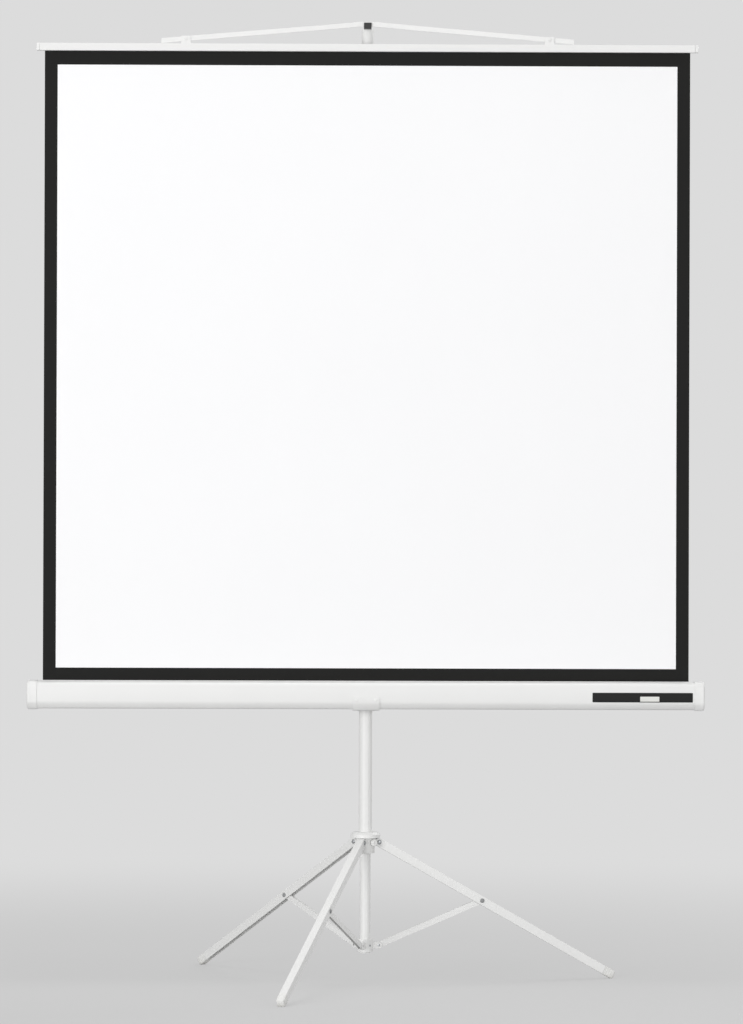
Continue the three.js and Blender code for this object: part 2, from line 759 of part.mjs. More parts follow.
function bailBracket(side) {
  const width = span(side * bailPivotReach, bracketWidth);
  const inside = bailThickness / 2 + sideGap;
  const top = bailPivotHeight + bracketCrown;
  const base = block(width, span(fabricPlane, 2 * (inside + bracketCheek)),
    [slatTop + seatGap, slatTop + seatGap + bracketBase]);
  const cheeks = [-1, 1].map((face) => {
    const faces = ordered(fabricPlane + face * inside, fabricPlane + face * (inside + bracketCheek));
    return block(width, faces, [slatTop + seatGap, top]);
  });
  const hole = pinHole(0, 0, slatDepth, bailRivetRadius)
    .translate(side * bailPivotReach, fabricPlane, bailPivotHeight);
  return joinAndCut([base, ...cheeks], [hole]);
}

function bailRivet(side) {
  const stack = bailThickness + 2 * (sideGap + bracketCheek);
  return rivet(bailRivetRadius, stack, bailRivetHeadRadius, bailRivetHeadHeight)
    .translate(side * bailPivotReach, fabricPlane, bailPivotHeight);
}

function screen() {
  const sides = { left: -1, right: 1 };
  const fabric = block(span(0, fabricWidth), span(fabricPlane, fabricThickness),
    [caseCentreHeight, fabricTop]);
  return group(
    mesh('screen_fabric', fabric, whiteFabric),
    mesh('slat_tube', slatTube(), paint),
    mesh('bail', bail(), paint),
    ...Object.entries(sides).flatMap(([name, side]) => [
      mesh(`slat_cap_${name}`, slatCap(side), paleNylon),
      mesh(`bail_bracket_${name}`, bailBracket(side), paint),
      mesh(`bail_rivet_${name}`, bailRivet(side), paint),
    ]),
  );
}

// The origin lies on the floor, in the middle of the object's width and depth
const object = group(tripod(), mast(), caseSet(), screen());
object.updateMatrixWorld(true);
const middle = new THREE.Box3().setFromObject(object, true).getCenter(new THREE.Vector3());
object.position.set(-middle.x, -middle.y, 0);

export default object;
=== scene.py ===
# Tripod projection screen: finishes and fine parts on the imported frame
# Metres, +Z up, the screen faces -Y

import json
import math

import bmesh
import bpy
from mathutils import Matrix, Vector


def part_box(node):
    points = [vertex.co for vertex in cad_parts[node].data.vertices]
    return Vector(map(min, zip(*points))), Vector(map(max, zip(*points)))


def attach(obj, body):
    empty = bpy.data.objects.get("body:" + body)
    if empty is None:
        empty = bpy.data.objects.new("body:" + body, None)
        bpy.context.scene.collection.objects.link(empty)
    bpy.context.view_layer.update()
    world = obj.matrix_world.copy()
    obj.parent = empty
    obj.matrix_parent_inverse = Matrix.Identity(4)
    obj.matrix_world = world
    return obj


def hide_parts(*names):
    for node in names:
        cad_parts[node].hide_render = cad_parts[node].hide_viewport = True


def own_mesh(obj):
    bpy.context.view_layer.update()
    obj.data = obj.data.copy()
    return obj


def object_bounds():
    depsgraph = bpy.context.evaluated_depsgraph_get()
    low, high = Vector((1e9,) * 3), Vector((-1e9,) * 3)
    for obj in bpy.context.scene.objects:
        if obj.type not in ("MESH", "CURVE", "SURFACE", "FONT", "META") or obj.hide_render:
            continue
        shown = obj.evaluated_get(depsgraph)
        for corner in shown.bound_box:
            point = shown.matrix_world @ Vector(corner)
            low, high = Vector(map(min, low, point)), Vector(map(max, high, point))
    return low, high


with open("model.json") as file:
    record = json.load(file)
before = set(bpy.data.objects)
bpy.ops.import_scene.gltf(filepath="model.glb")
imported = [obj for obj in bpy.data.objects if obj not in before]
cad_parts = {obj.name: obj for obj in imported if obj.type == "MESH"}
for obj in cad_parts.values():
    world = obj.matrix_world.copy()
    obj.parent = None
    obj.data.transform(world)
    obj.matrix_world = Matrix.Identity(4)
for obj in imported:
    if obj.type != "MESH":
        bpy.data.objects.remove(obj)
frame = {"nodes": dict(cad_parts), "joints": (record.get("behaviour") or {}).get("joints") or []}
nodes = frame["nodes"]
joints = {joint["name"]: joint for joint in frame["joints"]}
cadLow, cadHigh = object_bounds()


# Small helpers

def mm(value):
    return value / 1000


def perMetre(millimetres):  # texture scale that gives features of this size
    return 1000 / millimetres


def linearColour(hexText):  # sRGB hex to linear RGBA
    channels = [int(hexText[i:i + 2], 16) / 255 for i in (1, 3, 5)]
    linear = [c / 12.92 if c <= 0.04045 else ((c + 0.055) / 1.055) ** 2.4 for c in channels]
    return (*linear, 1.0)


def addNode(tree, kind, links=None, values=None, **settings):
    node = tree.nodes.new(kind)
    for name, value in settings.items():
        setattr(node, name, value)
    for name, value in (values or {}).items():
        node.inputs[name].default_value = value
    for name, source in (links or {}).items():
        tree.links.new(source, node.inputs[name])
    return node


def startMaterial(name, **shaderValues):
    material = bpy.data.materials.new(name)
    material.use_nodes = True
    tree = material.node_tree
    tree.nodes.clear()
    shader = addNode(tree, "ShaderNodeBsdfPrincipled", values=shaderValues)
    addNode(tree, "ShaderNodeOutputMaterial", links={"Surface": shader.outputs["BSDF"]})
    place = addNode(tree, "ShaderNodeTexCoord").outputs["Object"]
    return material, tree, shader, place


def shadeByAngle(mesh, degrees=35):
    mesh.shade_smooth()
    mesh.set_sharp_from_angle(angle=math.radians(degrees))


def addPiece(name, shape, materials, body, smoothDegrees=35):
    mesh = bpy.data.meshes.new(name)
    bmesh.ops.recalc_face_normals(shape, faces=shape.faces)
    shape.to_mesh(mesh)
    shape.free()
    for material in materials:
        mesh.materials.append(material)
    shadeByAngle(mesh, smoothDegrees)
    piece = bpy.data.objects.new(name, mesh)
    bpy.context.scene.collection.objects.link(piece)
    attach(piece, body)
    return piece


def addRing(shape, points):
    return [shape.verts.new(point) for point in points]


def joinRings(shape, rings):  # walls between the rings, then both ends; gives the walls
    walls = []
    for lower, upper in zip(rings, rings[1:]):
        for i in range(len(lower)):
            j = (i + 1) % len(lower)
            walls.append(shape.faces.new((lower[i], lower[j], upper[j], upper[i])))
    shape.faces.new(list(reversed(rings[0])))
    shape.faces.new(rings[-1])
    return walls


def turnedShape(profile, sides, place, flutes=0, fluteDepth=0.0):
    # Profile of (radius, height) from one end of the axis to the other
    shape = bmesh.new()
    rings = []
    for radius, height in profile:
        points = []
        for i in range(sides):
            angle = 2 * math.pi * i / sides
            share = 0.5 - 0.5 * math.cos(flutes * angle) if flutes else 0
            reach = radius - min(fluteDepth, radius / 4) * share  # flutes fade near the axis
            points.append(place @ Vector((reach * math.cos(angle), reach * math.sin(angle), height)))
        rings.append(addRing(shape, points))
    joinRings(shape, rings)
    return shape


def roundedOutline(halfWidth, halfHeight, corner, radius, steps):
    # Rectangle with round corners: corner places their centres, radius is their size
    points = []
    for quadrant, (sx, sy) in enumerate(((1, 1), (-1, 1), (-1, -1), (1, -1))):
        for i in range(steps + 1):
            angle = math.pi / 2 * (quadrant + i / steps)
            points.append((sx * (halfWidth - corner) + radius * math.cos(angle),
                           sy * (halfHeight - corner) + radius * math.sin(angle)))
    return points


def roundedPlate(look, place, steps=5):
    # Plate with a softened front edge; its back lies on the plane z = 0 of its place
    shape = bmesh.new()
    edge, top, corner = look["edge"], look["thickness"], look["corner"]
    rings = []
    for inset, level in ((0, 0), (0, top - edge), (edge * 0.3, top - edge * 0.3), (edge, top)):
        outline = roundedOutline(look["width"] / 2, look["height"] / 2, corner, corner - inset, steps)
        rings.append(addRing(shape, [place @ Vector((x, y, level)) for x, y in outline]))
    joinRings(shape, rings)
    return shape


def axisPlace(origin, direction):  # puts local +Z along the direction
    turn = Vector((0, 0, 1)).rotation_difference(Vector(direction)).to_matrix().to_4x4()
    return Matrix.Translation(origin) @ turn


# Materials

powderCoatLook = {
    "colour": "#efefee", "shade": "#eaeae9", "worn": "#d2d2d1", "roughness": (0.34, 0.46), "cloudMm": 140,
    "peelMm": 5.0, "peelDepthMm": 0.05, "peelStrength": 0.12,
    "edgeMm": 0.9, "edgeBend": (0.99, 0.8), "edgeWear": 0.7, "scuffMm": 9,
}


def powderCoatedSteel(name, look):
    # Baked powder: soft gloss, faint orange peel, edges rubbed a little greyer
    material, tree, shader, place = startMaterial(name, IOR=1.5)
    cloud = addNode(tree, "ShaderNodeTexNoise", {"Vector": place},
                    {"Scale": perMetre(look["cloudMm"]), "Detail": 4.0})
    tint = addNode(tree, "ShaderNodeMix", {"Factor": cloud.outputs["Fac"]},
                   {"A": linearColour(look["colour"]), "B": linearColour(look["shade"])}, data_type="RGBA")
    # An edge is where the rounded normal leaves the flat one
    rounded = addNode(tree, "ShaderNodeBevel", values={"Radius": mm(look["edgeMm"])}, samples=4)
    facing = addNode(tree, "ShaderNodeNewGeometry")
    turn = addNode(tree, "ShaderNodeVectorMath",
                   {0: rounded.outputs["Normal"], 1: facing.outputs["Normal"]}, operation="DOT_PRODUCT")
    flat, bent = look["edgeBend"]
    edge = addNode(tree, "ShaderNodeMapRange", {"Value": turn.outputs["Value"]},
                   {"From Min": flat, "From Max": bent, "To Min": 0.0, "To Max": look["edgeWear"]})
    scuff = addNode(tree, "ShaderNodeTexNoise", {"Vector": place},
                    {"Scale": perMetre(look["scuffMm"]), "Detail": 3.0})
    rub = addNode(tree, "ShaderNodeMath", {0: edge.outputs["Result"], 1: scuff.outputs["Fac"]},
                  operation="MULTIPLY")
    colour = addNode(tree, "ShaderNodeMix", {"Factor": rub.outputs["Value"], "A": tint.outputs["Result"]},
                     {"B": linearColour(look["worn"])}, data_type="RGBA")
    tree.links.new(colour.outputs["Result"], shader.inputs["Base Color"])
    low, high = look["roughness"]
    gloss = addNode(tree, "ShaderNodeMapRange", {"Value": cloud.outputs["Fac"]},
                    {"To Min": low, "To Max": high})
    tree.links.new(gloss.outputs["Result"], shader.inputs["Roughness"])
    # Real peel is about 1 mm across, drawn coarser so that it shows
    peel = addNode(tree, "ShaderNodeTexNoise", {"Vector": place},
                   {"Scale": perMetre(look["peelMm"]), "Detail": 2.0})
    bump = addNode(tree, "ShaderNodeBump", {"Height": peel.outputs["Fac"]},
                   {"Strength": look["peelStrength"], "Distance": mm(look["peelDepthMm"])})
    tree.links.new(bump.outputs["Normal"], shader.inputs["Normal"])
    return material


nylonLook = {"roughness": (0.38, 0.5), "gloss": 0.5, "cloudMm": 45,
             "grainMm": 1.4, "grainDepthMm": 0.04, "grainStrength": 0.2}


def mouldedNylon(name, look):
    # Injection moulded: spark-eroded grain, even colour with slight flow clouds
    values = {"IOR": 1.53, "Specular IOR Level": look["gloss"]}
    material, tree, shader, place = startMaterial(name, **values)
    cloud = addNode(tree, "ShaderNodeTexNoise", {"Vector": place},
                    {"Scale": perMetre(look["cloudMm"]), "Detail": 3.0})
    tint = addNode(tree, "ShaderNodeMix", {"Factor": cloud.outputs["Fac"]},
                   {"A": linearColour(look["colour"]), "B": linearColour(look["shade"])}, data_type="RGBA")
    tree.links.new(tint.outputs["Result"], shader.inputs["Base Color"])
    low, high = look["roughness"]
    dull = addNode(tree, "ShaderNodeMapRange", {"Value": cloud.outputs["Fac"]},
                   {"To Min": low, "To Max": high})
    tree.links.new(dull.outputs["Result"], shader.inputs["Roughness"])
    # Real grain is about 0.2 mm, drawn coarser so that it shows
    grain = addNode(tree, "ShaderNodeTexVoronoi", {"Vector": place}, {"Scale": perMetre(look["grainMm"])})
    bump = addNode(tree, "ShaderNodeBump", {"Height": grain.outputs["Distance"]},
                   {"Strength": look["grainStrength"], "Distance": mm(look["grainDepthMm"])})
    tree.links.new(bump.outputs["Normal"], shader.inputs["Normal"])
    return material


rubberLook = {"colour": "#e6e6e4", "shade": "#ececea", "roughness": 0.82, "mottleMm": 7,
              "dust": "#d2d0cb", "dustMm": 14, "dustShare": 0.5,
              "gritMm": 1.2, "gritDepthMm": 0.08, "gritStrength": 0.3}


def greyRubber(look):
    # Moulded rubber: dull, dusty where it meets the floor
    material, tree, shader, place = startMaterial("moulded grey rubber", IOR=1.52,
                                                  Roughness=look["roughness"])
    mottle = addNode(tree, "ShaderNodeTexNoise", {"Vector": place},
                     {"Scale": perMetre(look["mottleMm"]), "Detail": 5.0})
    tint = addNode(tree, "ShaderNodeMix", {"Factor": mottle.outputs["Fac"]},
                   {"A": linearColour(look["colour"]), "B": linearColour(look["shade"])}, data_type="RGBA")
    height = addNode(tree, "ShaderNodeSeparateXYZ", {"Vector": place})
    dust = addNode(tree, "ShaderNodeMapRange", {"Value": height.outputs["Z"]},
                   {"From Min": mm(look["dustMm"]), "From Max": 0.0,
                    "To Min": 0.0, "To Max": look["dustShare"]})
    colour = addNode(tree, "ShaderNodeMix", {"Factor": dust.outputs["Result"], "A": tint.outputs["Result"]},
                     {"B": linearColour(look["dust"])}, data_type="RGBA")
    tree.links.new(colour.outputs["Result"], shader.inputs["Base Color"])
    grit = addNode(tree, "ShaderNodeTexNoise", {"Vector": place},
                   {"Scale": perMetre(look["gritMm"]), "Detail": 2.0})
    bump = addNode(tree, "ShaderNodeBump", {"Height": grit.outputs["Fac"]},
                   {"Strength": look["gritStrength"], "Distance": mm(look["gritDepthMm"])})
    tree.links.new(bump.outputs["Normal"], shader.inputs["Normal"])
    return material


metalLook = {"streakWidthMm": 0.8, "streakLengthMm": 40}


def platedMetal(name, look):
    # Plated or drawn metal: fine streaks along the stock and a clouded shine
    material, tree, shader, place = startMaterial(name, Metallic=1.0)
    along, across = perMetre(look["streakLengthMm"]), perMetre(look["streakWidthMm"])
    stretch = addNode(tree, "ShaderNodeMapping", {"Vector": place}, {"Scale": (along, across, across)})
    streak = addNode(tree, "ShaderNodeTexNoise", {"Vector": stretch.outputs["Vector"]},
                     {"Scale": 1.0, "Detail": 3.0})
    tint = addNode(tree, "ShaderNodeMix", {"Factor": streak.outputs["Fac"]},
                   {"A": linearColour(look["colour"]), "B": linearColour(look["shade"])}, data_type="RGBA")
    tree.links.new(tint.outputs["Result"], shader.inputs["Base Color"])
    low, high = look["roughness"]
    gloss = addNode(tree, "ShaderNodeMapRange", {"Value": streak.outputs["Fac"]},
                    {"To Min": low, "To Max": high})
    tree.links.new(gloss.outputs["Result"], shader.inputs["Roughness"])
    return material


# Threads lie about 0.5 mm apart, drawn wider so that they show
clothLook = {"cloudMm": 420, "threadMm": 2.0, "threadDepthMm": 0.03, "threadStrength": 0.15, "gloss": 0.25}


def coatedCloth(name, look):
    # Vinyl-coated glass cloth: dead matt, a fine embossed weave under the coat
    values = {"Roughness": look["roughness"], "IOR": 1.48, "Specular IOR Level": look["gloss"]}
    material, tree, shader, place = startMaterial(name, **values)
    cloud = addNode(tree, "ShaderNodeTexNoise", {"Vector": place},
                    {"Scale": perMetre(look["cloudMm"]), "Detail": 3.0})
    tint = addNode(tree, "ShaderNodeMix", {"Factor": cloud.outputs["Fac"]},
                   {"A": linearColour(look["colour"]), "B": linearColour(look["shade"])}, data_type="RGBA")
    tree.links.new(tint.outputs["Result"], shader.inputs["Base Color"])
    axes = addNode(tree, "ShaderNodeSeparateXYZ", {"Vector": place})
    waves = []
    for axis in "XZ":
        phase = addNode(tree, "ShaderNodeMath", {0: axes.outputs[axis]},
                        {1: 2 * math.pi * perMetre(look["threadMm"])}, operation="MULTIPLY")
        wave = addNode(tree, "ShaderNodeMath", {0: phase.outputs["Value"]}, operation="SINE")
        waves.append(wave.outputs["Value"])
    weave = addNode(tree, "ShaderNodeMath", dict(enumerate(waves)), operation="MULTIPLY")
    bump = addNode(tree, "ShaderNodeBump", {"Height": weave.outputs["Value"]},
                   {"Strength": look["threadStrength"], "Distance": mm(look["threadDepthMm"])})
    tree.links.new(bump.outputs["Normal"], shader.inputs["Normal"])
    return material


powderCoat = powderCoatedSteel("powder-coated steel", powderCoatLook)
greyRivetPaint = powderCoatedSteel("grey painted rivet steel", powderCoatLook | {
    "colour": "#98999a", "shade": "#8d8e8f", "worn": "#b9babb"})
paleNylon = mouldedNylon("moulded pale nylon", nylonLook | {"colour": "#f1f1f0", "shade": "#eaeae9"})
blackNylon = mouldedNylon("moulded black nylon", nylonLook | {
    "colour": "#1b1b1c", "shade": "#232324", "roughness": (0.42, 0.55)})
rubber = greyRubber(rubberLook)
zincPlate = platedMetal("zinc-plated steel", metalLook | {
    "colour": "#b4b6b8", "shade": "#9c9ea1", "roughness": (0.24, 0.4)})
drawnAluminium = platedMetal("drawn aluminium", metalLook | {
    "colour": "#cfd1d3", "shade": "#bcbec1", "roughness": (0.26, 0.38)})
screenWhite = coatedCloth("matt white vinyl-coated cloth", clothLook | {
    "colour": "#fdfdfe", "shade": "#fbfbfc", "roughness": 0.88})
borderBlack = coatedCloth("black printed border", clothLook | {
    "colour": "#1a1a19", "shade": "#1f1f1e", "roughness": 0.85})
backBlack = coatedCloth("black-out cloth backing", clothLook | {
    "colour": "#202022", "shade": "#272729", "roughness": 0.9, "threadStrength": 0.3})
vinylLook = nylonLook | {"grainMm": 0.9, "grainDepthMm": 0.01}
plateBlack = mouldedNylon("printed vinyl plate", vinylLook | {
    "colour": "#1a1a1a", "shade": "#202020", "roughness": (0.58, 0.66), "gloss": 0.2})
platePale = mouldedNylon("blank plate patch", vinylLook | {
    "colour": "#e6e6e2", "shade": "#dededa", "roughness": (0.34, 0.4)})
print("materials:", len(bpy.data.materials))


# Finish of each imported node, and the width of its softened edges in millimetres

finishes = {
    "powder coat": (powderCoat, {
        "post_tube": 0.3, "post_collar": 0.7, "hub": 0.8, "mast_tube": 0.3, "rod_tube": 0.3,
        "carriage": 0.8, "case_saddle": 0.5, "case_shell": 0.35, "slat_tube": 0.45, "bail": 0.5,
        "bail_bracket_left": 0.5, "bail_bracket_right": 0.5,
        "bail_rivet_left": 0.3, "bail_rivet_right": 0.3,
        "leg_right": 0.5, "leg_left": 0.5, "leg_front": 0.5,
        "brace_right": 0.45, "brace_left": 0.45, "brace_front": 0.45}),
    "grey rivets": (greyRivetPaint, {
        "brace_rivet_right": 0.3, "brace_rivet_left": 0.3, "brace_rivet_front": 0.3}),
    "pale nylon": (paleNylon, {
        "leg_lock_knob": 0.4, "post_end_cap": 0.6, "rod_cap": 1.0,
        "case_cap_left": 0.5, "case_cap_right": 0.5, "slat_cap_left": 1.0, "slat_cap_right": 1.0}),
    "black nylon": (blackNylon, {
        "post_bush": 0.3, "rod_bush": 0.3, "mast_clamp": 1.0, "rod_lock_knob": 0.4,
        "bail_hook": 0.7, "case_lock_lever": 0.8}),
    "rubber": (rubber, {"foot_right": 0.8, "foot_left": 0.8, "foot_front": 0.8}),
    "zinc": (zincPlate, {
        "collar_screw": 0.2, "hub_pin_right": 0.3, "hub_pin_left": 0.3, "hub_pin_front": 0.3,
        "collar_pin_right": 0.2, "collar_pin_left": 0.2, "collar_pin_front": 0.2, "case_pivot_bolt": 0.3,
        "lever_pin": 0.2, "roller_gudgeon": 0.3, "spring_spindle": 0.3, "roller_spring": 0.3}),
    "aluminium": (drawnAluminium, {"roller_tube": 0.3}),
    "fabric": (screenWhite, {"screen_fabric": 0, "wound_fabric": 0}),
}


softLook = {"weld": mm(0.002), "bevelDegrees": 40, "bevelSegments": 2, "crispDegrees": 38}


def facetGroup(name, steps):
    group = bpy.data.node_groups.new(name, "GeometryNodeTree")
    for side in ("INPUT", "OUTPUT"):
        group.interface.new_socket("Geometry", in_out=side, socket_type="NodeSocketGeometry")
    flow = addNode(group, "NodeGroupInput").outputs["Geometry"]
    for kind, values, settings, moreLinks in steps:
        links = {"Geometry": flow} | (moreLinks(group) if moreLinks else {})
        flow = addNode(group, kind, links, values, **settings).outputs["Geometry"]
    addNode(group, "NodeGroupOutput", {"Geometry": flow})
    return group


def shallowEdges(group):  # edges that bend less than a crisp corner
    bend = addNode(group, "GeometryNodeInputMeshEdgeAngle")
    shallow = addNode(group, "FunctionNodeCompare", {"A": bend.outputs["Unsigned Angle"]},
                      {"B": math.radians(softLook["crispDegrees"])},
                      data_type="FLOAT", operation="LESS_THAN")
    return {"Shade Smooth": shallow.outputs["Result"]}


weldFacets = facetGroup("weld facets", [
    ("GeometryNodeRemoveAttribute", {"Name": "custom_normal"}, {}, None),
    ("GeometryNodeMergeByDistance", {"Distance": softLook["weld"]}, {}, None),
])
smoothFacets = facetGroup("smooth shallow edges", [
    ("GeometryNodeSetShadeSmooth", {"Shade Smooth": True}, {"domain": "FACE"}, None),
    ("GeometryNodeSetShadeSmooth", {}, {"domain": "EDGE"}, shallowEdges),
])


def softenEdges(piece, widthMm):
    piece.modifiers.new("weld", "NODES").node_group = weldFacets
    if widthMm:
        bevel = piece.modifiers.new("soft edges", "BEVEL")
        bevel.width = mm(widthMm)
        bevel.segments = softLook["bevelSegments"]
        bevel.limit_method = "ANGLE"
        bevel.angle_limit = math.radians(softLook["bevelDegrees"])
        bevel.use_clamp_overlap = True
    piece.modifiers.new("smooth", "NODES").node_group = smoothFacets
    even = piece.modifiers.new("even faces", "WEIGHTED_NORMAL")
    even.keep_sharp = True


dressed = set()
for material, widths in finishes.values():
    for name, widthMm in widths.items():
        node = nodes[name]
        node.data.materials.clear()
        node.data.materials.append(material)
        softenEdges(node, widthMm)
        dressed.add(name)
print("finishes on", len(dressed), "nodes, left plain:", sorted(set(nodes) - dressed))


# Camera, fitted to points of the photograph in its 743 x 1024 frame

cameraFit = {"place": (-0.0781, -11.0, 1.0736), "yaw": 0.00823, "pitch": 0.00575, "roll": 0.00304,
             "focalPixels": 4572.5, "longSidePixels": 1024, "sensorMm": 36}


def addCamera(fit):
    camera = bpy.data.objects.new("camera", bpy.data.cameras.new("camera"))
    bpy.context.scene.collection.objects.link(camera)
    camera.data.sensor_width = fit["sensorMm"]
    camera.data.lens = fit["focalPixels"] / fit["longSidePixels"] * fit["sensorMm"]
    camera.data.clip_end = 100
    camera.location = fit["place"]
    camera.rotation_euler = (math.pi / 2 + fit["pitch"], -fit["roll"], -fit["yaw"])
    bpy.context.scene.camera = camera


addCamera(cameraFit)
print("camera: lens", round(bpy.context.scene.camera.data.lens, 1), "mm")


# Screen fabric: a band that stays on the slat, the main sheet and a band that goes into the case first

fabricLook = {"thickness": mm(0.5), "sideBorder": mm(31), "topBorder": mm(33.5), "bottomBorder": mm(31.5),
              "hiddenBelowSlot": mm(17), "seam": mm(0.05),
              "curl": mm(2.0), "curlReach": mm(70), "curlEnds": 0.7,
              "topRows": 2, "rows": 48, "bottomRows": 4, "columns": 36, "edgeColumns": 5}
fabricLow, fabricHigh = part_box("screen_fabric")
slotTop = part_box("case_shell")[1].z
fabricPlane = (fabricLow.y + fabricHigh.y) / 2
whiteLow = slotTop + fabricLook["bottomBorder"]
whiteHigh = fabricHigh.z - fabricLook["topBorder"]


def fabricColumns(look):
    # x of each column, closer together across the side borders where the cloth curls
    half = fabricHigh.x
    inner = half - look["sideBorder"]
    curlStart = half - look["curlReach"]
    count = look["edgeColumns"]
    side = [curlStart + (inner - curlStart) * i / count for i in range(count)]
    side += [inner + (half - inner) * i / count for i in range(count + 1)]
    middle = [-curlStart + 2 * curlStart * i / look["columns"] for i in range(1, look["columns"])]
    return [-x for x in reversed(side)] + middle + side


def curlBack(x, z, look):  # the side edges of stretched cloth curl back, most at half height
    reach = max(0.0, abs(x) - (fabricHigh.x - look["curlReach"])) / look["curlReach"]
    share = (z - fabricLow.z) / (fabricHigh.z - fabricLow.z)
    return look["curl"] * reach ** 2 * math.sin(math.pi * min(max(share, 0), 1)) ** look["curlEnds"]


def fabricPiece(name, low, high, rows, allBlack, body, look):
    shape = bmesh.new()
    columns = fabricColumns(look)
    half = look["thickness"] / 2
    levels = [low + (high - low) * r / rows for r in range(rows + 1)]
    front, back = [[addRing(shape, [(x, fabricPlane + side + curlBack(x, z, look), z) for x in columns])
                    for z in levels] for side in (-half, half)]
    inner = fabricHigh.x - look["sideBorder"]
    edges = []
    for r in range(rows):
        for i in range(len(columns) - 1):
            onBorder = allBlack or abs(columns[i] + columns[i + 1]) / 2 > inner
            face = shape.faces.new((front[r][i], front[r][i + 1], front[r + 1][i + 1], front[r + 1][i]))
            face.material_index = 1 if onBorder else 0
            face = shape.faces.new((back[r][i], back[r + 1][i], back[r + 1][i + 1], back[r][i + 1]))
            face.material_index = 2
        for i in (0, -1):
            edges.append(shape.faces.new((front[r][i], front[r + 1][i], back[r + 1][i], back[r][i])))
    for r in (0, -1):
        for i in range(len(columns) - 1):
            edges.append(shape.faces.new((front[r][i], front[r][i + 1], back[r][i + 1], back[r][i])))
    for face in edges:
        face.material_index = 1
    return addPiece(name, shape, [screenWhite, borderBlack, backBlack], body)


# A hair's width at the seam keeps the band clear of the sheet when the case turns
topBand = fabricPiece("screen_top_band", whiteHigh + fabricLook["seam"], fabricHigh.z,
                      fabricLook["topRows"], True, "slat", fabricLook)
mainSheet = fabricPiece("screen_sheet", whiteLow, whiteHigh, fabricLook["rows"], False, "case", fabricLook)
bottomBand = fabricPiece("screen_bottom_band", fabricLow.z, whiteLow, fabricLook["bottomRows"],
                         True, "case", fabricLook)
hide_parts("screen_fabric")
# With the slat down, the black band and the foot of the white sheet have gone below the slot
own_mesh(mainSheet)
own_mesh(bottomBand)
fabricWidth = fabricHigh.x - fabricLow.x
whiteWidth = fabricWidth - 2 * fabricLook["sideBorder"]
print("fabric: white area", round(whiteWidth, 3), "by", round(whiteHigh - whiteLow, 3))


# Turns of fabric left on the roller

rollLook = {"thickness": mm(0.35), "turns": 2.2, "stepsPerTurn": 40}
rollLow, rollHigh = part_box("wound_fabric")


def woundRoll(look):
    middle = (rollLow + rollHigh) / 2
    outer = (rollHigh.z - rollLow.z) / 2
    tubeLow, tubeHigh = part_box("roller_tube")
    start = (tubeHigh.z - tubeLow.z) / 2 + look["thickness"]
    pitch = (outer - look["thickness"] - start) / look["turns"]
    steps = int(look["turns"] * look["stepsPerTurn"])
    shape = bmesh.new()
    rings = []
    for i in range(steps + 1):
        turn = look["turns"] * i / steps
        radius = start + pitch * turn
        angle = 2 * math.pi * (turn - look["turns"])
        section = []
        for reach, x in ((radius, rollLow.x), (radius + look["thickness"], rollLow.x),
                         (radius + look["thickness"], rollHigh.x), (radius, rollHigh.x)):
            section.append((x, middle.y + reach * math.cos(angle), middle.z + reach * math.sin(angle)))
        rings.append(addRing(shape, section))
    for face in joinRings(shape, rings):
        face.material_index = 1
    roll = addPiece("wound_turns", shape, [screenWhite, backBlack], "roller")
    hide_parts("wound_fabric")


woundRoll(rollLook)


# Knobs with fluted grips in place of the plain turned ones

knobLook = {"edge": mm(1.8), "recess": mm(0.6), "fluteDepth": mm(1.5), "sides": 64, "smoothDegrees": 40}
knobs = {"leg_lock_knob": ("leg_knob", paleNylon, "pale_nylon", 8),
         "rod_lock_knob": ("rod_knob", blackNylon, "black_nylon", 6)}


def flutedKnob(node, body, material, flutes, look):
    joint = joints[body + "_turn"]
    origin, axis = Vector(joint["pos_m"]), Vector(joint["axis"]).normalized()
    # The plain knob's vertices give its stem, neck and grip
    offsets = [vertex.co - origin for vertex in nodes[node].data.vertices]
    turned = [((offset - axis * offset.dot(axis)).length, offset.dot(axis)) for offset in offsets]
    tip = min(height for radius, height in turned)
    end = max(height for radius, height in turned)
    grip = max(radius for radius, height in turned)
    stem = max(radius for radius, height in turned if height < tip + mm(0.1))
    neck = min(height for radius, height in turned if radius > stem + mm(1))
    edge, floor = look["edge"], end - look["recess"]
    profile = [(stem, tip), (stem, neck), (grip * 0.62, neck), (grip * 0.7, neck + edge),
               (grip * 0.95, neck + edge * 1.6), (grip, neck + edge * 2.2), (grip, end - edge),
               (grip * 0.96, end - edge * 0.35), (grip * 0.86, end), (grip * 0.5, end),
               (grip * 0.45, floor), (grip * 0.1, floor)]
    shape = turnedShape(profile, look["sides"], axisPlace(origin, axis), flutes, look["fluteDepth"])
    knob = addPiece(node + "_grip", shape, [material], body, look["smoothDegrees"])
    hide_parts(node)


for node, (body, material, slot, flutes) in knobs.items():
    flutedKnob(node, body, material, flutes, knobLook)
print("knobs:", len(knobs))


# Rubber boots with ribs, cut flat where they stand

bootLook = {"ribs": 3, "ribRise": mm(0.7), "ribWidth": mm(2.6), "firstRib": 0.22, "ribStep": 0.2,
            "corner": mm(3.5), "cornerSteps": 4, "endRound": mm(3), "endShoulder": mm(1.4),
            "lip": mm(1.0), "lipLength": mm(0.6), "gap": mm(0.3)}


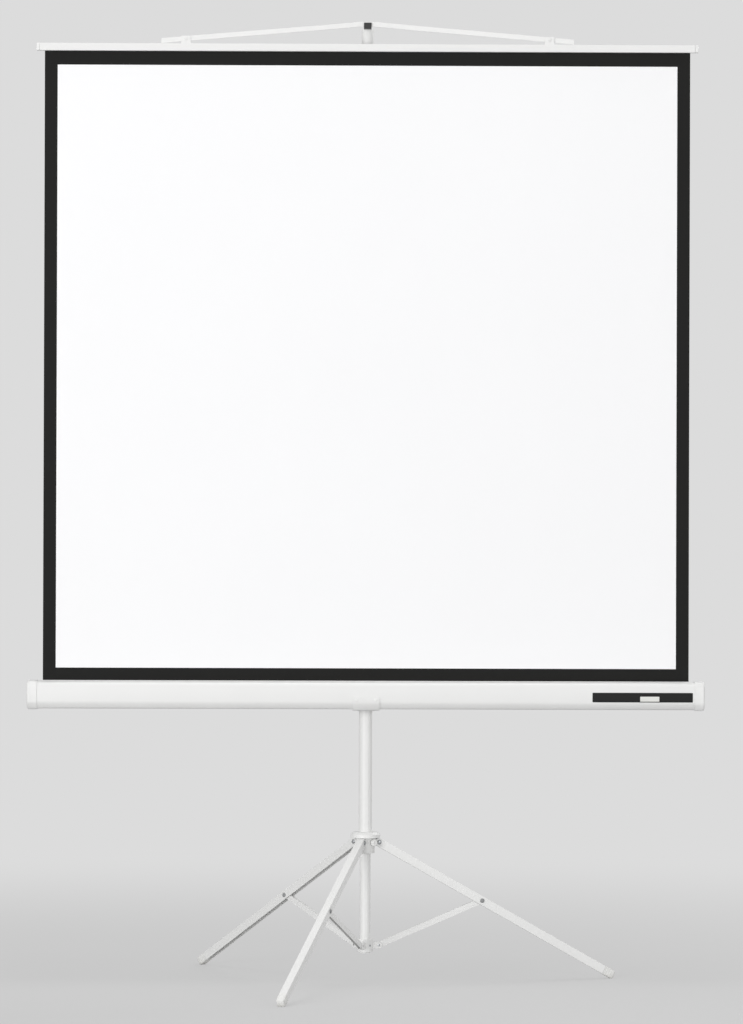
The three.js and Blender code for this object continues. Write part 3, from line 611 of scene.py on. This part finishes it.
def rubberBoot(side, look):
    hubPin = Vector(joints[f"leg_{side}_hinge"]["pos_m"])
    bracePin = Vector(joints[f"brace_{side}_hinge"]["pos_m"])
    along = (bracePin - hubPin).normalized()
    across = Vector(joints[f"leg_{side}_hinge"]["axis"]).normalized()
    up = along.cross(across)
    if up.z < 0:
        up = -up
    legTips = [vertex.co - hubPin for vertex in nodes[f"leg_{side}"].data.vertices]
    footTips = [vertex.co - hubPin for vertex in nodes[f"foot_{side}"].data.vertices]
    start = max(tip.dot(along) for tip in legTips) + look["gap"]
    length = max(tip.dot(along) for tip in footTips) - start
    halfWidth = max(abs(tip.dot(across)) for tip in footTips)
    halfDepth = max(tip.dot(up) for tip in footTips)
    # Stations of (distance down the boot, offset of its skin)
    stations = [(0, -look["lip"]), (look["lipLength"], 0)]
    for rib in range(look["ribs"]):
        centre = length * (look["firstRib"] + rib * look["ribStep"])
        for share, rise in ((-0.5, 0), (-0.25, 1), (0.25, 1), (0.5, 0)):
            stations.append((centre + share * look["ribWidth"], (rise - 1) * look["ribRise"]))
    stations += [(length - look["endRound"], -look["ribRise"]),
                 (length - look["endRound"] * 0.4, -look["endShoulder"]), (length, -look["endRound"])]
    shape = bmesh.new()
    rings = []
    for distance, offset in stations:
        wide, deep = halfWidth + offset, halfDepth + offset
        corner = min(look["corner"], wide, deep)
        outline = roundedOutline(wide, deep, corner, corner, look["cornerSteps"])
        rings.append(addRing(shape, [hubPin + along * (start + distance) + across * u + up * v
                                     for u, v in outline]))
    joinRings(shape, rings)
    whole = list(shape.verts) + list(shape.edges) + list(shape.faces)
    cut = bmesh.ops.bisect_plane(shape, geom=whole, dist=1e-6, plane_co=(0, 0, 0), plane_no=(0, 0, 1),
                                 clear_inner=True)
    rim = [item for item in cut["geom_cut"] if isinstance(item, bmesh.types.BMEdge)]
    if rim:
        bmesh.ops.contextual_create(shape, geom=rim)
    boot = addPiece(f"boot_{side}", shape, [rubber], f"leg_{side}")
    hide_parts(f"foot_{side}")


legSides = ("right", "left", "front")
for side in legSides:
    rubberBoot(side, bootLook)
print("boots:", len(legSides))


# Case trim: rolled lips along the slot, a blank plate, saddle rivets and screws behind the end caps

slotLook = {"slotHalf": mm(3.0), "lipRadius": mm(1.3), "lipInset": mm(26), "lipOut": 0.75, "lipRise": 0.15}
plateLook = {"width": mm(241), "height": mm(23), "thickness": mm(0.7), "corner": mm(2), "edge": mm(0.3),
             "drop": mm(2.8), "margin": mm(5.1), "sink": mm(0.02)}
patchLook = {"width": mm(46), "height": mm(12), "thickness": mm(0.25), "corner": mm(1), "edge": mm(0.1),
             "shift": mm(17), "drop": mm(3.6)}
saddleLook = {"spread": mm(23), "frontRise": mm(26), "frontRadius": mm(4.0), "frontHeight": mm(1.4),
              "backRise": mm(17), "backRadius": mm(3.4), "backHeight": mm(0.3)}
screwLook = {"radius": mm(4.0), "height": mm(1.2), "spread": mm(30), "inset": mm(2)}
headLook = {"sides": 28, "sink": mm(0.2)}
shellLow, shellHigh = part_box("case_shell")
capLow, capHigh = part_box("case_cap_right")
saddleLow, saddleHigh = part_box("case_saddle")
caseMiddle = (shellLow + shellHigh) / 2


def roundBar(name, start, end, radius, material, body, sides=12):
    axis = Vector(end) - Vector(start)
    length = axis.length
    soft = radius * 0.6
    profile = [(radius * 0.4, 0), (radius * 0.8, soft * 0.35), (radius, soft), (radius, length - soft),
               (radius * 0.8, length - soft * 0.35), (radius * 0.4, length)]
    shape = turnedShape(profile, sides, axisPlace(start, axis))
    return addPiece(name, shape, [material], body)


def domedHead(name, origin, direction, radius, height, material, body, drive=False):
    sink = headLook["sink"]
    profile = [(radius * 0.98, -sink), (radius, height * 0.2), (radius * 0.92, height * 0.5),
               (radius * 0.72, height * 0.8), (radius * 0.4, height * 0.97), (radius * 0.12, height)]
    if drive:  # flat head with a round recess
        profile = [(radius * 0.98, -sink), (radius, height * 0.45), (radius * 0.9, height * 0.9),
                   (radius * 0.55, height), (radius * 0.42, height), (radius * 0.38, height * 0.25),
                   (radius * 0.08, height * 0.25)]
    shape = turnedShape(profile, headLook["sides"], axisPlace(origin, direction))
    return addPiece(name, shape, [material], body)


lipEnd = shellHigh.x - slotLook["lipInset"]
for side, sign in (("front", -1), ("rear", 1)):
    y = fabricPlane + sign * (slotLook["slotHalf"] + slotLook["lipRadius"] * slotLook["lipOut"])
    z = slotTop + slotLook["lipRadius"] * slotLook["lipRise"]
    roundBar(f"slot_lip_{side}", (-lipEnd, y, z), (lipEnd, y, z), slotLook["lipRadius"],
             powderCoat, "case")


def caseFrontPlate(name, look, x, y, z, material):
    place = Matrix.Translation((x, y, z)) @ Matrix.Rotation(math.pi / 2, 4, "X")
    addPiece(name, roundedPlate(look, place), [material], "case")


plateX = capLow.x - plateLook["margin"] - plateLook["width"] / 2
plateY = shellLow.y + plateLook["sink"]
plateZ = caseMiddle.z - plateLook["drop"]
caseFrontPlate("blank_plate", plateLook, plateX, plateY, plateZ, plateBlack)
caseFrontPlate("blank_plate_patch", patchLook, plateX + patchLook["shift"], plateY - plateLook["thickness"],
               plateZ - patchLook["drop"], platePale)

for i, sign in enumerate((-1, 1)):
    x = sign * saddleLook["spread"]
    domedHead(f"saddle_rivet_{i + 1}", (x, saddleLow.y, saddleLow.z + saddleLook["frontRise"]), (0, -1, 0),
              saddleLook["frontRadius"], saddleLook["frontHeight"], powderCoat, "case")
    for j, up in enumerate((-1, 1)):
        domedHead(f"saddle_back_rivet_{2 * i + j + 1}",
                  (x, saddleHigh.y, caseMiddle.z + up * saddleLook["backRise"]), (0, 1, 0),
                  saddleLook["backRadius"], saddleLook["backHeight"], zincPlate, "case")

screwX = (capLow.x + capHigh.x) / 2 - screwLook["inset"]
for name, sign in (("left", -1), ("right", 1)):
    for i, up in enumerate((-1, 1)):
        domedHead(f"cap_screw_{name}_{i + 1}",
                  (sign * screwX, capHigh.y, caseMiddle.z + up * screwLook["spread"] / 2), (0, 1, 0),
                  screwLook["radius"], screwLook["height"], zincPlate, "case", drive=True)
print("case trim: lips, plate, rivets and screws")


# Floor, world and lamps

stageLook = {"floorSize": 60, "floor": "#c8c8c8", "backdrop": "#dcdcdc", "fill": 0.5,
             "plainShare": (0.55, 1.0), "plainReach": (1.0, 4.5)}
lampLook = {"key softbox": {"place": (-4.7, -7.5, 1.5), "size": 3.5, "watts": 322},
            "fill softbox": {"place": (3.5, -8.5, 1.3), "size": 3.5, "watts": 162},
            "top softbox": {"place": (0.0, -0.6, 5.8), "size": 1.6, "watts": 45},
            "rim softbox": {"place": (3.6, 3.2, 4.2), "size": 3.0, "watts": 80}}


def seenDirectly(tree):  # camera, mirror and see-through rays
    path = addNode(tree, "ShaderNodeLightPath")
    total = path.outputs["Is Camera Ray"]
    for name in ("Is Glossy Ray", "Is Transmission Ray"):
        step = addNode(tree, "ShaderNodeMath", {0: total, 1: path.outputs[name]}, operation="ADD",
                       use_clamp=True)
        total = step.outputs["Value"]
    return total


def addFloor(look):
    shape = bmesh.new()
    bmesh.ops.create_grid(shape, x_segments=1, y_segments=1, size=look["floorSize"] / 2)
    mesh = bpy.data.meshes.new("floor")
    shape.to_mesh(mesh)
    shape.free()
    floor = bpy.data.objects.new("floor", mesh)
    bpy.context.scene.collection.objects.link(floor)
    material = bpy.data.materials.new("matt white studio floor")
    material.use_nodes = True
    tree = material.node_tree
    tree.nodes.clear()
    matt = addNode(tree, "ShaderNodeBsdfDiffuse", values={"Color": linearColour(look["floor"])})
    plain = addNode(tree, "ShaderNodeEmission",
                    values={"Color": linearColour(look["backdrop"]), "Strength": 1.0})
    # Far from the object the floor runs out into the backdrop, and near it the shadow shows
    place = addNode(tree, "ShaderNodeTexCoord").outputs["Object"]
    away = addNode(tree, "ShaderNodeVectorMath", {0: place}, operation="LENGTH")
    near, far = look["plainReach"]
    low, high = look["plainShare"]
    fade = addNode(tree, "ShaderNodeMapRange", {"Value": away.outputs["Value"]},
                   {"From Min": near, "From Max": far, "To Min": low, "To Max": high},
                   interpolation_type="SMOOTHSTEP")
    share = addNode(tree, "ShaderNodeMath", {0: seenDirectly(tree), 1: fade.outputs["Result"]},
                    operation="MULTIPLY")
    mix = addNode(tree, "ShaderNodeMixShader", {0: share.outputs["Value"], 1: matt.outputs["BSDF"],
                                                2: plain.outputs["Emission"]})
    addNode(tree, "ShaderNodeOutputMaterial", {"Surface": mix.outputs["Shader"]})
    mesh.materials.append(material)


def addWorld(look):
    world = bpy.data.worlds.new("studio")
    bpy.context.scene.world = world
    world.use_nodes = True
    tree = world.node_tree
    tree.nodes.clear()
    fill = addNode(tree, "ShaderNodeBackground",
                   values={"Color": (1.0, 1.0, 1.0, 1.0), "Strength": look["fill"]})
    backdrop = addNode(tree, "ShaderNodeBackground",
                       values={"Color": linearColour(look["backdrop"]), "Strength": 1.0})
    sky = addNode(tree, "ShaderNodeMixShader", {0: seenDirectly(tree), 1: fill.outputs["Background"],
                                                2: backdrop.outputs["Background"]})
    addNode(tree, "ShaderNodeOutputWorld", {"Surface": sky.outputs["Shader"]})


def addLamp(name, look, target):
    lamp = bpy.data.objects.new(name, bpy.data.lights.new(name, "AREA"))
    bpy.context.scene.collection.objects.link(lamp)
    lamp.data.shape = "SQUARE"
    lamp.data.size = look["size"]
    lamp.data.energy = look["watts"]
    lamp.location = look["place"]
    lamp.rotation_euler = (Vector(target) - lamp.location).to_track_quat("-Z", "Y").to_euler()


addFloor(stageLook)
addWorld(stageLook)
lightTarget = (0, 0, (cadLow.z + cadHigh.z) / 2)
for name, look in lampLook.items():
    addLamp(name, look, lightTarget)
bpy.context.scene.view_settings.view_transform = "Standard"
print("stage: floor, world and lamps")
